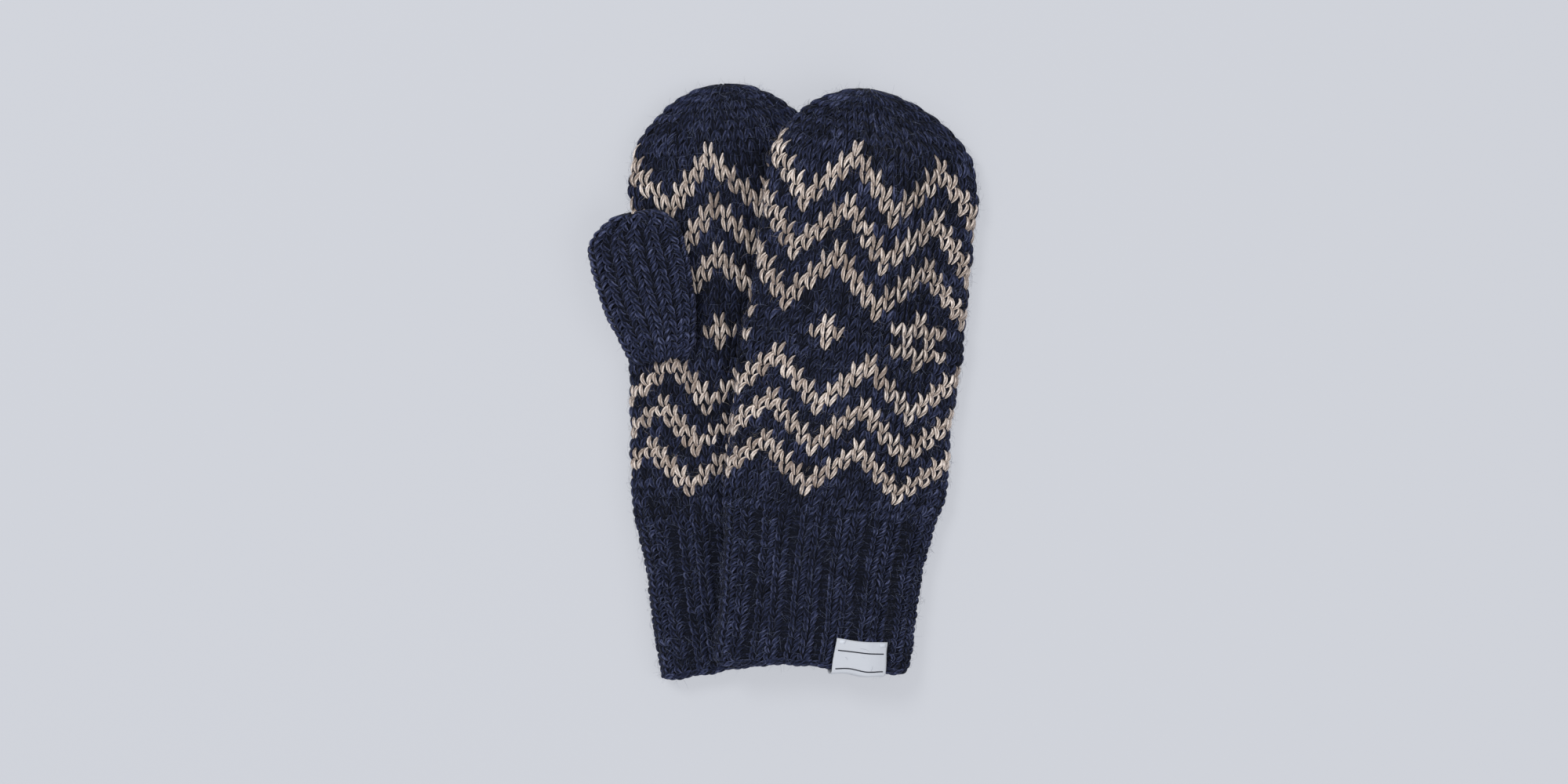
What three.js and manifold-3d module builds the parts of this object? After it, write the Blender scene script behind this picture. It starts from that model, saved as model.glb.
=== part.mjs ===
// A pair of knitted mittens lying flat, one partly on top of the other.
// Millimetres, +Z up. X runs across the pair, Y from the cuffs to the fingertips.
// The left-hand mitten lies underneath, palm up, with its thumb on top of its palm. The
// right-hand mitten lies on its neighbour's edge, back up, with its thumb tucked underneath.
import * as THREE from 'three';
import { mergeVertices } from 'three/addons/utils/BufferGeometryUtils.js';
import Module from 'manifold-3d';

const wasm = await Module();
wasm.setup();

// ---- driving dimensions -------------------------------------------------------------
const GAP = 0.3;                    // clearance between pieces that touch
const LOFT = 12;                    // thickness of a mitten lying flat
const WALL = 3.4;                   // thickness of the knitted fabric
const THUMB_LOFT = 10;
const THUMB_WALL = 2.6;
const INLAY = 1.1;                  // depth of the contrast yarn in the fabric
const INLAY_SINK = 0.1;             // the contrast yarn lies this far under the surface
const OVERCUT = 2.5;                // how far a groove's cutter stands out of the surface
const STITCHES = 40;                // stitches round the hand
const REPEAT = 8;                   // stitches in one repeat of the pattern
const EDGE_STITCH = -4;             // the stitch column that lies on the left-hand fold
const ROW_START = 4.45;             // height of the first pattern row
const ROW_GROWTH = 0.026;           // how much the rows open up towards the fingertips
const BAND_ROWS = 2;                // height of a chevron band in rows
const BAND_STEP = 4;                // rows from one band to the next
const RIBS = 12;                    // knit-two purl-two ribs round the cuff
const RIB_DEPTH = 1.3;
const HEM = 3;                      // length of the cast-on edge
const CUFF_TOP = 70;
const CROWN_START = 222;            // where the fingertip curve begins
const CROWN_THIN = 0.6;             // how much the fingertips thin out
const UNDER_LIFT = LOFT + 0.4;      // height of the upper mitten where it lies on the lower
const THUMB_LIFT = THUMB_LOFT + 0.8;
const THUMB_DROOP = 5;              // how far the free side of the thumb hangs down
const THUMB_SLIT = { across: 12, along: 6 };   // half sizes of the thumb opening
const LABEL = { left: 10.5, right: 34, height: 14, tuck: 9, thickness: 0.8 };

// Each mitten: where its hem centre stands, how it is turned, and the left and right
// edges of its outline at a few heights above the hem.
const LEFT = {
  side: 'left', x: -10, y: -136.5, turn: 3.1,
  outline: [[0, -46.5, 44], [25, -49, 44.5], [50, -50.5, 45], [75, -54.5, 47],
    [92, -56.5, 48], [140, -55.5, 48], [180, -52, 48], [222, -50, 48]],
  crownLength: 53, crownDrift: -5, firstRow: 84, palmUp: true, motifs: 4,
  thumb: { x: -40, y: 158.5, lean: 8.2 },
};
const RIGHT = {
  side: 'right', x: 11.5, y: -132, turn: -5.6,
  outline: [[0, -45.5, 44.5], [25, -44.5, 47], [50, -45, 48.5], [72, -47.5, 50.5],
    [90, -47.5, 55.5], [140, -47, 56.5], [165, -43.5, 56.5], [222, -42, 56.5]],
  crownLength: 46, crownDrift: -5.5, firstRow: 78, palmUp: false, motifs: 3,
  thumb: { x: -20, y: 153.5, lean: 0 },
};
// Half width of the thumb at a few distances past the middle of its opening.
const THUMB_WIDTH = [[-9.5, 12], [-6, 15.4], [0, 17], [12, 19.5], [30, 21], [43, 20.6]];
const THUMB_TIP = 16.5;             // length of the rounded tip beyond the last of those

// ---- colours --------------------------------------------------------------------------
const material = (colour, roughness) =>
  new THREE.MeshStandardMaterial({ color: colour, roughness, metalness: 0 });
const NAVY = 0x262a3b;
const TAN = 0xb9a797;
const CLOTH = 0xd5d9e0;

// ---- plain helpers ----------------------------------------------------------------------
const degrees = (angle) => angle * Math.PI / 180;

function smooth(low, high, value) {
  const t = Math.min(1, Math.max(0, (value - low) / (high - low)));
  return t * t * (3 - 2 * t);
}

// Reads column `column` of a station table at `at`, with a straight run between stations.
function station(table, at, column) {
  let i = 1;
  while (i < table.length - 1 && table[i][0] < at) i += 1;
  const [a, b] = [table[i - 1], table[i]];
  const t = Math.min(1, Math.max(0, (at - a[0]) / (b[0] - a[0])));
  return a[column] + (b[column] - a[column]) * t;
}

// A point on a flattened tube of half width w and thickness t. `around` runs from 0 on the
// left fold over the top to 1 on the right fold, and back underneath to 2.
function flattened(around, w, t) {
  const lap = ((around % 2) + 2) % 2;
  const under = lap > 1;
  const rho = Math.min(t / 2, w);
  const flat = w - rho;
  const arc = Math.PI * rho / 2;
  const run = (under ? 2 - lap : lap) * (2 * flat + 2 * arc);
  let x = run - arc - flat;
  let rise = rho;
  if (run < arc) {
    x = -flat - rho * Math.cos(run / rho);
    rise = rho * Math.sin(run / rho);
  } else if (run > arc + 2 * flat) {
    x = flat + rho * Math.sin((run - arc - 2 * flat) / rho);
    rise = rho * Math.cos((run - arc - 2 * flat) / rho);
  }
  return [x, t / 2 + (under ? -rise : rise) * (t / 2) / rho];
}

// ---- the mitten's surface -----------------------------------------------------------------
function rowHeight(mitten, row) {
  return mitten.firstRow + ROW_START * row + ROW_GROWTH * row * row;
}

function outlineAt(mitten, y) {
  const left = station(mitten.outline, y, 1);
  const right = station(mitten.outline, y, 2);
  const t = Math.max(0, (y - CROWN_START) / mitten.crownLength);
  const round = Math.sqrt(Math.max(0, 1 - t * t));
  return {
    centre: (left + right) / 2 + mitten.crownDrift * t,
    half: (right - left) / 2 * round,
    thickness: LOFT * Math.sqrt(1 - CROWN_THIN * Math.min(1, t * t)),
  };
}

// Turns a point of one mitten's own plane into the other's.
function carry(from, to, x, y) {
  const a = degrees(from.turn);
  const px = from.x + x * Math.cos(a) - y * Math.sin(a) - to.x;
  const py = from.y + x * Math.sin(a) + y * Math.cos(a) - to.y;
  const b = degrees(-to.turn);
  return [px * Math.cos(b) - py * Math.sin(b), px * Math.sin(b) + py * Math.cos(b)];
}

// Height of what the mitten lies on: the floor for the lower one. The upper one lies on its
// neighbour, over its own thumb, and comes down to the floor past the neighbour's edge.
function support(mitten, x, y) {
  if (mitten.palmUp) return 0;
  const [across] = carry(mitten, LEFT, x, y);
  const onNeighbour = 1 - smooth(48, 74 + 10 * smooth(0, 100, y), across);
  const t = mitten.thumb;
  const overThumb = smooth(t.y - 62, t.y - 30, y) * (1 - smooth(t.y + 76, t.y + 106, y))
    * (1 - smooth(t.x + 32, t.x + 66, x));
  const flat = UNDER_LIFT * onNeighbour;
  return flat + (UNDER_LIFT + THUMB_LIFT - flat) * overThumb;
}

// A point `depth` under the outer surface, `around` the tube at height y above the hem.
function surface(mitten, around, y, depth) {
  const o = outlineAt(mitten, y);
  const [dx, dz] = flattened(around, o.half - depth, o.thickness - 2 * depth);
  const x = o.centre + dx;
  return new THREE.Vector3(x, y, support(mitten, x, y) + depth + dz);
}

// ---- closed bodies ------------------------------------------------------------------------
// Joins rings of equal length in order. Without end points the last ring joins the first.
function ringBody(rings, startPoint, endPoint) {
  const count = rings[0].length;
  const points = rings.flat();
  const faces = [];
  const last = startPoint ? rings.length - 1 : rings.length;
  for (let r = 0; r < last; r += 1) {
    const next = (r + 1) % rings.length;
    for (let i = 0; i < count; i += 1) {
      const j = (i + 1) % count;
      faces.push(r * count + i, r * count + j, next * count + j);
      faces.push(r * count + i, next * count + j, next * count + i);
    }
  }
  if (startPoint) {
    points.push(startPoint, endPoint);
    const end = (rings.length - 1) * count;
    for (let i = 0; i < count; i += 1) {
      const j = (i + 1) % count;
      faces.push(points.length - 2, j, i);
      faces.push(points.length - 1, end + i, end + j);
    }
  }
  return outward(points, faces);
}

function outward(points, faces) {
  let volume = 0;
  for (let f = 0; f < faces.length; f += 3) {
    const [a, b, c] = [points[faces[f]], points[faces[f + 1]], points[faces[f + 2]]];
    volume += a.dot(new THREE.Vector3().crossVectors(b, c));
  }
  if (volume < 0) faces.reverse();
  const geometry = new THREE.BufferGeometry();
  geometry.setAttribute('position',
    new THREE.Float32BufferAttribute(points.flatMap((p) => [p.x, p.y, p.z]), 3));
  geometry.setIndex(faces);
  return geometry;
}

function middle(ring) {
  const sum = ring.reduce((total, p) => total.add(p), new THREE.Vector3());
  return sum.divideScalar(ring.length);
}

function solid(geometry) {
  const bare = geometry.clone();
  bare.deleteAttribute('normal');
  bare.deleteAttribute('uv');
  const merged = mergeVertices(bare, 1e-4);
  return new wasm.Manifold(new wasm.Mesh({
    numProp: 3,
    vertProperties: new Float32Array(merged.attributes.position.array),
    triVerts: new Uint32Array(merged.index.array),
  }));
}

function geometryOf(body) {
  const mesh = body.getMesh();
  const geometry = new THREE.BufferGeometry();
  geometry.setAttribute('position', new THREE.BufferAttribute(mesh.vertProperties, 3));
  geometry.setIndex(new THREE.BufferAttribute(mesh.triVerts, 1));
  return geometry;
}

// ---- stitch columns of the section: every fourth one, and each one round the folds -------
const COLUMNS = [];
for (let c = 0; c < STITCHES; c += 1) {
  const fromFold = Math.min(c % 20, 20 - (c % 20));
  if (c % 4 === 0 || fromFold <= 2) COLUMNS.push(c);
}
const COLUMN_LAPS = COLUMNS.map((c) => c / (STITCHES / 2));

function ring(mitten, laps, y, depthAt) {
  return laps.map((lap, i) => surface(mitten, lap, y, depthAt(i)));
}

function tube(mitten, laps, heights, depthAt) {
  const outer = heights.map((y) => ring(mitten, laps, y, depthAt));
  const inner = heights.map((y) => ring(mitten, laps, y, () => WALL));
  return ringBody([...outer, ...inner.reverse()]);
}

// ---- cuff -----------------------------------------------------------------------------------
// Four points for each rib: one in the narrow purl groove and three on the wide knit ridge.
const RIB_LAPS = [];
for (let i = 0; i < RIBS * 4; i += 1) RIB_LAPS.push((i + 0.5) / (RIBS * 2));
const ribDepth = (i) => (i % 4 === 0 ? RIB_DEPTH : 0);

function castOnEdge(mitten) {
  return tube(mitten, RIB_LAPS, [0, HEM], () => 0);
}

function cuff(mitten) {
  return tube(mitten, RIB_LAPS, [HEM + GAP, 25, 48, CUFF_TOP], ribDepth);
}

// ---- hand and its contrast pattern --------------------------------------------------------
// The six chevron bands from the cuff upwards: first row at the trough, and its column.
const BANDS = [0, 1, 2].map((k) => ({ row: k * BAND_STEP, trough: REPEAT / 2 }));
for (let k = 0; k < 3; k += 1) BANDS.push({ row: 17 + k * BAND_STEP, trough: 0 });
const TOP_ROW = 31;                 // first plain row above the pattern
const MOTIF_ROW = 15.5;             // height of the motifs' middle

function handTop(mitten) {
  return rowHeight(mitten, TOP_ROW) + 2;
}

// Heights of a band's lower or upper edge at each column of the section.
function bandEdge(mitten, band, upper, slack) {
  return COLUMNS.map((c) => {
    const along = (((c + EDGE_STITCH - band.trough) % REPEAT) + REPEAT) % REPEAT;
    const row = band.row + Math.min(along, REPEAT - along);
    return upper ? rowHeight(mitten, row + BAND_ROWS) + 0.4 + slack : rowHeight(mitten, row) + 1 - slack;
  });
}

function zigzagRing(mitten, heights, depth) {
  return heights.map((y, i) => surface(mitten, COLUMN_LAPS[i], y, depth));
}

function chevron(mitten, band) {
  const [low, high] = [false, true].map((upper) => bandEdge(mitten, band, upper, 0));
  return ringBody([
    zigzagRing(mitten, low, INLAY), zigzagRing(mitten, high, INLAY),
    zigzagRing(mitten, high, INLAY_SINK), zigzagRing(mitten, low, INLAY_SINK),
  ]);
}

// The hand's knitted tube: its outer rings follow the edges of the bands' grooves.
function handTube(mitten) {
  const level = (y) => COLUMNS.map(() => y);
  const bottom = CUFF_TOP + GAP;
  const outer = [zigzagRing(mitten, level(bottom), 0)];
  let below = level(bottom);
  const bridge = (above, steps) => {
    for (let k = 1; k < steps; k += 1) {
      const between = below.map((y, i) => y + (above[i] - y) * k / steps);
      outer.push(zigzagRing(mitten, between, 0));
    }
  };
  BANDS.forEach((band, k) => {
    const slack = 2 * GAP;
    const low = bandEdge(mitten, band, false, slack);
    const high = bandEdge(mitten, band, true, slack);
    bridge(low, k === 3 ? 3 : 1);
    outer.push(zigzagRing(mitten, low, 0), zigzagRing(mitten, low, INLAY + GAP));
    outer.push(zigzagRing(mitten, high, INLAY + GAP), zigzagRing(mitten, high, 0));
    below = high;
  });
  bridge(level(handTop(mitten)), 2);
  outer.push(zigzagRing(mitten, level(handTop(mitten)), 0));
  const inner = [];
  const steps = 10;
  for (let i = 0; i <= steps; i += 1) {
    const y = bottom + (handTop(mitten) - bottom) * i / steps;
    inner.push(zigzagRing(mitten, level(y), WALL));
  }
  return ringBody([...outer, ...inner.reverse()]);
}

// Outlines of the two small motifs, in stitches and rows from their middle.
const SNOWFLAKE = [[0, 2.5], [0.8, 1.2], [2.5, 1.5], [1.5, 0], [2.5, -1.5], [0.8, -1.2],
  [0, -2.5], [-0.8, -1.2], [-2.5, -1.5], [-1.5, 0], [-2.5, 1.5], [-0.8, 1.2]];
const DOT = [[0, 1.5], [0.6, 0.6], [1.5, 0], [0.6, -0.6], [0, -1.5], [-0.6, -0.6], [-1.5, 0],
  [-0.6, 0.6]];

function motif(mitten, outline, column, grow) {
  const [top, bottom] = grow ? [-OVERCUT, INLAY + 2 * GAP] : [INLAY_SINK, INLAY];
  const swell = grow ? 1.2 : 1;
  const at = ([across, up], depth) => surface(mitten,
    (column + across * swell - EDGE_STITCH) / (STITCHES / 2),
    rowHeight(mitten, MOTIF_ROW + up * swell) + 2, depth);
  const face = (depth) => outline.map((corner) => at(corner, depth));
  return solid(ringBody([face(top), face(bottom)], at([0, 0], top), at([0, 0], bottom)));
}

// The motifs stand in the diamonds between the bands, by turns a dot and a snowflake. The
// one that wraps the left fold is left out, and so is one that the thumb opening cuts through.
function motifPieces(mitten) {
  const kinds = [['dot', DOT], ['snowflake', SNOWFLAKE], ['dot', DOT], ['snowflake', SNOWFLAKE]]
    .slice(0, mitten.motifs);
  return kinds.map(([kind, outline], k) => {
    const column = EDGE_STITCH + (k + 1) * REPEAT;
    return {
      name: `${kind}_${k < 2 ? 'above' : 'below'}`,
      body: motif(mitten, outline, column, false),
      groove: motif(mitten, outline, column, true),
    };
  });
}

// A prism through the thumb opening, `from` to `to` in height.
function slit(mitten, from, to) {
  const t = mitten.thumb;
  const prism = new THREE.CylinderGeometry(1, 1, to - from, 20);
  prism.rotateX(Math.PI / 2);
  prism.scale(THUMB_SLIT.across, THUMB_SLIT.along, 1);
  prism.translate(t.x, t.y, (from + to) / 2);
  return solid(prism);
}

// Height of the palm's outer surface at the thumb, and which way the thumb lies from it.
function palm(mitten) {
  const base = support(mitten, mitten.thumb.x, mitten.thumb.y);
  return mitten.palmUp ? { level: base + LOFT, up: 1 } : { level: base, up: -1 };
}

function hand(mitten, motifs) {
  const { level, up } = palm(mitten);
  let body = solid(handTube(mitten));
  for (const { groove } of motifs) body = body.subtract(groove);
  const [a, b] = [level + up, level - up * (WALL + 1)];
  return geometryOf(body.subtract(slit(mitten, Math.min(a, b), Math.max(a, b))));
}

// ---- crown ----------------------------------------------------------------------------------
function crown(mitten) {
  const low = handTop(mitten) + GAP;
  const tip = CROWN_START + mitten.crownLength;
  const steps = 5;
  const angle = (y) => Math.asin((y - CROWN_START) / mitten.crownLength);
  const outer = [];
  for (let i = 0; i <= steps; i += 1) {
    const a = angle(low) + (degrees(80) - angle(low)) * i / steps;
    outer.push(ring(mitten, COLUMN_LAPS, CROWN_START + mitten.crownLength * Math.sin(a), () => 0));
  }
  const innerHeights = [low, (low + tip - 7) / 2, tip - 7];
  const inner = innerHeights.map((y) => ring(mitten, COLUMN_LAPS, y, () => WALL));
  const outerTip = middle(outer[steps]).setY(tip);
  const innerTip = middle(inner[2]).add(new THREE.Vector3(0, 1, 0));
  return ringBody([...outer.reverse(), ...inner], outerTip, innerTip);
}

// ---- thumb ----------------------------------------------------------------------------------
const THUMB_LAPS = [];
for (let i = 0; i < 16; i += 1) {
  const turn = i % 8;
  const fold = [0, 0.055, 0.11, 0.3, 0.5, 0.7, 0.89, 0.945];
  THUMB_LAPS.push(fold[turn] + (i < 8 ? 0 : 1));
}

// One ring of the thumb, `along` past the middle of its opening and `depth` under its skin.
function thumbRing(mitten, along, depth) {
  const { level, up } = palm(mitten);
  const last = THUMB_WIDTH[THUMB_WIDTH.length - 1][0];
  const t = Math.max(0, (along - last) / THUMB_TIP);
  const half = station(THUMB_WIDTH, along, 1) * Math.sqrt(Math.max(0, 1 - t * t));
  const thickness = THUMB_LOFT * Math.sqrt(1 - 0.5 * t * t);
  const lean = degrees(mitten.thumb.lean);
  return THUMB_LAPS.map((lap) => {
    const [dx, dz] = flattened(lap, half - depth, thickness - 2 * depth);
    const x = mitten.thumb.x + dx * Math.cos(lean) - along * Math.sin(lean);
    const y = mitten.thumb.y + dx * Math.sin(lean) + along * Math.cos(lean);
    const droop = mitten.palmUp ? THUMB_DROOP * smooth(48, 76, -x) : 0;
    return new THREE.Vector3(x, y, level + up * (2 * GAP + depth + dz) - droop);
  });
}

function thumb(mitten) {
  const tip = THUMB_WIDTH[THUMB_WIDTH.length - 1][0] + THUMB_TIP;
  const outer = [-9.5, -6, 0, 12, 30, 43, 49, 54, 57.8].map((s) => thumbRing(mitten, s, 0));
  const inner = [-6.5, 0, 12, 30, 43, 52].map((s) => thumbRing(mitten, s, THUMB_WALL));
  const end = middle(outer[outer.length - 1]);
  const lean = degrees(mitten.thumb.lean);
  const left = tip - 57.8;
  end.add(new THREE.Vector3(-left * Math.sin(lean), left * Math.cos(lean), 0));
  const skin = solid(ringBody(outer, middle(outer[0]), end));
  const hollow = solid(ringBody(inner, middle(inner[0]), middle(inner[inner.length - 1])));
  const { level, up } = palm(mitten);
  const [a, b] = [level - up * 2, level + up * (THUMB_WALL + 2.5)];
  return geometryOf(skin.subtract(hollow)
    .subtract(slit(mitten, Math.min(a, b), Math.max(a, b))));
}

// ---- label ----------------------------------------------------------------------------------
// A strip of cloth folded round the cast-on edge: one leaf on the cuff, one inside it.
function labelBody(mitten) {
  const o = outlineAt(mitten, 0);
  const columns = [0, 0.25, 0.5, 0.75, 1].map((t) => LABEL.left + (LABEL.right - LABEL.left) * t);
  const clear = 2 * GAP;
  const { thickness } = LABEL;
  const path = (grow) => {
    const out = -clear - (grow ? thickness : 0);
    const inside = WALL + clear + (grow ? thickness : 0);
    const hem = -clear - (grow ? thickness : 0);
    return [[LABEL.height, out], [7, out], [hem, out], [hem, inside], [LABEL.tuck, inside]];
  };
  const place = ([y, depth]) => columns.map((x) => {
    const z = support(mitten, x, Math.max(0, y)) + o.thickness - depth;
    return new THREE.Vector3(x, y, z);
  });
  // Each column's section is the outer path and the inner path back again.
  const rows = [...path(true), ...path(false).reverse()].map(place);
  const rings = columns.map((x, i) => rows.map((row) => row[i]));
  return capStrip(rings);
}

// Closes a strip's two end sections with faces between its outer and inner paths.
function capStrip(rings) {
  const count = rings[0].length;
  const points = rings.flat();
  const faces = [];
  for (let r = 0; r < rings.length - 1; r += 1) {
    for (let i = 0; i < count; i += 1) {
      const j = (i + 1) % count;
      faces.push(r * count + i, r * count + j, (r + 1) * count + j);
      faces.push(r * count + i, (r + 1) * count + j, (r + 1) * count + i);
    }
  }
  const end = (rings.length - 1) * count;
  for (let i = 0; i < count / 2 - 1; i += 1) {
    const j = count - 1 - i;
    faces.push(i, j, i + 1, i + 1, j, j - 1);
    faces.push(end + i, end + i + 1, end + j, end + i + 1, end + j - 1, end + j);
  }
  return outward(points, faces);
}

// A bar tack at one of the label's upper corners: a short run of thread on the cloth.
function tack(mitten, x) {
  const bar = new THREE.BoxGeometry(3.2, 1.1, 0.7);
  const o = outlineAt(mitten, 0);
  const y = LABEL.height - 1.6;
  const lift = 2 * GAP + LABEL.thickness + 0.9;
  bar.translate(x, y, support(mitten, x, y) + o.thickness + lift);
  return bar;
}

// ---- assembly -------------------------------------------------------------------------------
function piece(name, geometry, colour, roughness = 0.95) {
  const flat = geometry.index ? geometry.toNonIndexed() : geometry;
  flat.computeVertexNormals();
  const mesh = new THREE.Mesh(flat, material(colour, roughness));
  mesh.name = name;
  return mesh;
}

function mittenGroup(mitten) {
  const group = new THREE.Group();
  group.position.set(mitten.x, mitten.y, 0);
  group.rotation.z = degrees(mitten.turn);
  const add = (name, geometry, colour) => group.add(piece(`${mitten.side}_${name}`, geometry, colour));
  const motifs = motifPieces(mitten);
  add('cast_on_edge', castOnEdge(mitten), NAVY);
  add('cuff', cuff(mitten), NAVY);
  add('hand', hand(mitten, motifs), NAVY);
  add('crown', crown(mitten), NAVY);
  add('thumb', thumb(mitten), NAVY);
  BANDS.forEach((band, k) => add(`chevron_${k + 1}`, chevron(mitten, band), TAN));
  for (const { name, body } of motifs) add(name, geometryOf(body), TAN);
  if (mitten === RIGHT) {
    add('label', labelBody(mitten), CLOTH);
    add('label_tack_1', tack(mitten, LABEL.left + 2.6), NAVY);
    add('label_tack_2', tack(mitten, LABEL.right - 2.6), NAVY);
  }
  return group;
}

// The pair is centred over the origin and stands on z = 0.
const pair = new THREE.Group();
pair.add(mittenGroup(LEFT), mittenGroup(RIGHT));
const reach = new THREE.Box3().setFromObject(pair, true);
pair.position.set(-(reach.min.x + reach.max.x) / 2, -(reach.min.y + reach.max.y) / 2, -reach.min.z);

const mittens = new THREE.Group();
mittens.add(pair);
export default mittens;
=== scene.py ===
"""A pair of knitted mittens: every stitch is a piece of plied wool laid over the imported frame.

The surface of each mitten is a flattened tube in millimetres, as in the CAD model. A stitch is
placed on it by its column round the tube and its row above the cuff.
"""
import math

import bpy
import numpy as np
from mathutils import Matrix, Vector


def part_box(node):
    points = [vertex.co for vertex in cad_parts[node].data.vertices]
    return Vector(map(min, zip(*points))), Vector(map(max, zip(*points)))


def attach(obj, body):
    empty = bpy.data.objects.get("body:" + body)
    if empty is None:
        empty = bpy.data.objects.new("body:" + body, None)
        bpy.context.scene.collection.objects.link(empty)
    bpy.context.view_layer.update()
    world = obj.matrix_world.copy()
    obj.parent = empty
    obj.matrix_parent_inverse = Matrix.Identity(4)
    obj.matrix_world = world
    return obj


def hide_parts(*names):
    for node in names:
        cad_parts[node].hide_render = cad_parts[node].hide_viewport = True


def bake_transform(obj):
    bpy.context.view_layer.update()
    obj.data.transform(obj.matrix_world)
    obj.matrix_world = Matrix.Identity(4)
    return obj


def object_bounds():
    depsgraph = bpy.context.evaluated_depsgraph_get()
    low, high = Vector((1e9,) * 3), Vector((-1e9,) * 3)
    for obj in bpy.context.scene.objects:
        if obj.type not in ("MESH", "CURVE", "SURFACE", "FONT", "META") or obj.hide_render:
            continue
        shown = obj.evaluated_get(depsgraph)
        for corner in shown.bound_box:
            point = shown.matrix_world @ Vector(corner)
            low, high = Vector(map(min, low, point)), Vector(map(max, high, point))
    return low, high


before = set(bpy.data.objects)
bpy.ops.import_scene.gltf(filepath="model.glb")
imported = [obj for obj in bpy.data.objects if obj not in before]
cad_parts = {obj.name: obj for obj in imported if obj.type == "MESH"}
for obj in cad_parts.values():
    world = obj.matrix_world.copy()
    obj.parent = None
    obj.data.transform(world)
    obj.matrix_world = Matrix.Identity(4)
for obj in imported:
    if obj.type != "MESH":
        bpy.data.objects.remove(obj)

cad_low, cad_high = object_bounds()

MM = 0.001

# ---- driving dimensions, in millimetres ---------------------------------------------------
LOFT = 12.0                  # thickness of a mitten lying flat
WALL = 3.4                   # thickness of the knitted fabric
BACKING = 1.25               # depth of the opaque ground under the stitches
THUMB_LOFT = 10.0
THUMB_WALL = 2.6
GAP = 0.3                    # clearance between pieces that touch
YARN_SLACK = 10              # off twice the flat width, when it sets a stitch's yarn thickness
STITCHES = 40                # round the hand
FACE = STITCHES / 2          # stitches across one face
REPEAT = 8                   # stitches in one repeat of the pattern
ROW_START = 4.45             # height of the first pattern row
ROW_GROWTH = 0.026           # how much the rows open up towards the fingertips
TOP_ROW = 31                 # first plain row above the pattern
EDGE_STITCH = -4             # the stitch column on the left-hand fold
CUFF_TOP = 70.0
CROWN_START = 222.0          # height where the fingertip curve begins
CROWN_THIN = 0.6             # how much the fingertips thin out
CROWN_HALF = 50              # half width of the fingertips where they begin
CROWN_PITCH = 5.7            # height of a row at the start of the fingertips
CROWN_STITCH = 5.3           # width of a stitch in the fingertips
UNDER_LIFT = LOFT + 0.4      # height of the upper mitten where it lies on the lower
THUMB_LIFT = THUMB_LOFT + 0.8
NEIGHBOUR_DRAPE = (48, 74, 10)       # from its middle: start, end, widening to the fingertips
THUMB_DRAPE = ((62, 30), (76, 106), (32, 66))    # below, above and beside the thumb's opening
THUMB_DROOP = 5.0            # how far the free side of the thumb hangs down
# Half width, and sideways bend, of the thumb at distances past the middle of its opening.
THUMB_WIDTH = [(-9.5, 12), (-6, 15.4), (0, 17), (12, 19.9), (30, 21.9), (43, 21.7)]
THUMB_BEND = [(5, 0.0), (12, -0.7), (30, -1.3), (47, -1.9), (60, 0.8)]
THUMB_TIP = 16.5             # length of the thumb's rounded end
RIBS = 12                    # knit-two purl-two ribs round the cuff
RIB_ROW = 3.35               # height of a row of ribbing
RIB_PHASE = 1.14             # where the first rib stands, in half ribs
SCALLOP = 0.4                # how far the ribs wave the hem
WOBBLE = 0.35                # unevenness of the hand's edges
THUMB_ROW = 3.4
THUMB_STITCHES = 12          # round the thumb
THUMB_FOOT = -10.5           # where its lowest row is, past the middle of its opening
LEG = 0.94                   # radius of the yarn in the leg of a stitch
TAN_LEG = 0.8                # the same in the tan yarn
PURL = 0.74                  # the same in a purl bump
TWIST = 0.22                 # how fast the two plies of the yarn wind round each other
SINK = 0.75                  # sets the stitches deeper, so that their crests lie at the skin
THUMB_FIBRES = 1200
TAN_FIBRES = 2600
NAVY_FIBRES = 30             # for each millimetre of the mitten's height

# Each mitten: where its hem centre stands and how it is turned, how the hem rises or sags,
# its left and right edges at a few heights, its fingertips' length, drift and shoulders (two
# exponents a side), how its stitches slant, where its pattern starts and how many plain rows lie
# under it, its thumb's opening and lean, and at a few heights the stitch column in its middle and
# the tilt of its rows.
LEFT = {
    "side": "left", "x": -10, "y": -136.5, "turn": 3.1, "palm_up": True, "rise": 4.5, "sag": 0.0,
    "outline": [(0, -47.3, 44), (25, -50.2, 44.5), (50, -52, 45), (75, -55.8, 47),
                (92, -56.7, 48), (115, -55.4, 48), (140, -54.8, 48), (180, -52, 48),
                (222, -50, 48)],
    "crown": 53, "drift": -5, "shoulders": ((2.2, 0.68), (2.0, 0.5)),
    "skew": 0.08, "first_row": 84.1, "plain_rows": 3, "thumb": (-40, 158.5, 8.2),
    "centre_column": [(80, 8.85), (107, 7.82), (120, 7.13), (133, 6.33), (147, 5.75),
                      (165, 5.65), (190, 5.7), (206, 5.8), (235, 6.05)],
    "tilt": [(0, 0.0), (280, 0.0)],
}
RIGHT = {
    "side": "right", "x": 11.5, "y": -132, "turn": -5.6, "palm_up": False, "rise": 0.0, "sag": 3.6,
    "outline": [(0, -44.6, 44.8), (4, -45.5, 46.4), (12, -45, 47.2), (25, -44.5, 47.3),
                (50, -45, 48.8), (72, -47.5, 52.6), (80, -47.5, 55.2), (90, -47.5, 56.3),
                (105, -47.3, 55.4), (120, -47, 55.2), (140, -47, 56.6), (152, -45.6, 57.1),
                (165, -43.5, 56.9), (200, -42.6, 57), (222, -42, 57.3)],
    "crown": 46, "drift": -5.5, "shoulders": ((1.75, 0.52), (2.6, 0.66)),
    "skew": 0.25, "first_row": 77.9, "plain_rows": 2, "thumb": (-20, 153.5, 0),
    "centre_column": [(78, 6.7), (122, 6.37), (136, 6.34), (150, 6.5), (168, 6.65), (186, 6.45),
                      (200, 6.12), (217, 5.9), (240, 5.75)],
    "tilt": [(78, 0.0), (100, -1.4), (140, -1.3), (168, -1.2), (186, -3.8), (240, -4.7),
             (262, 0.0)],
}

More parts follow.
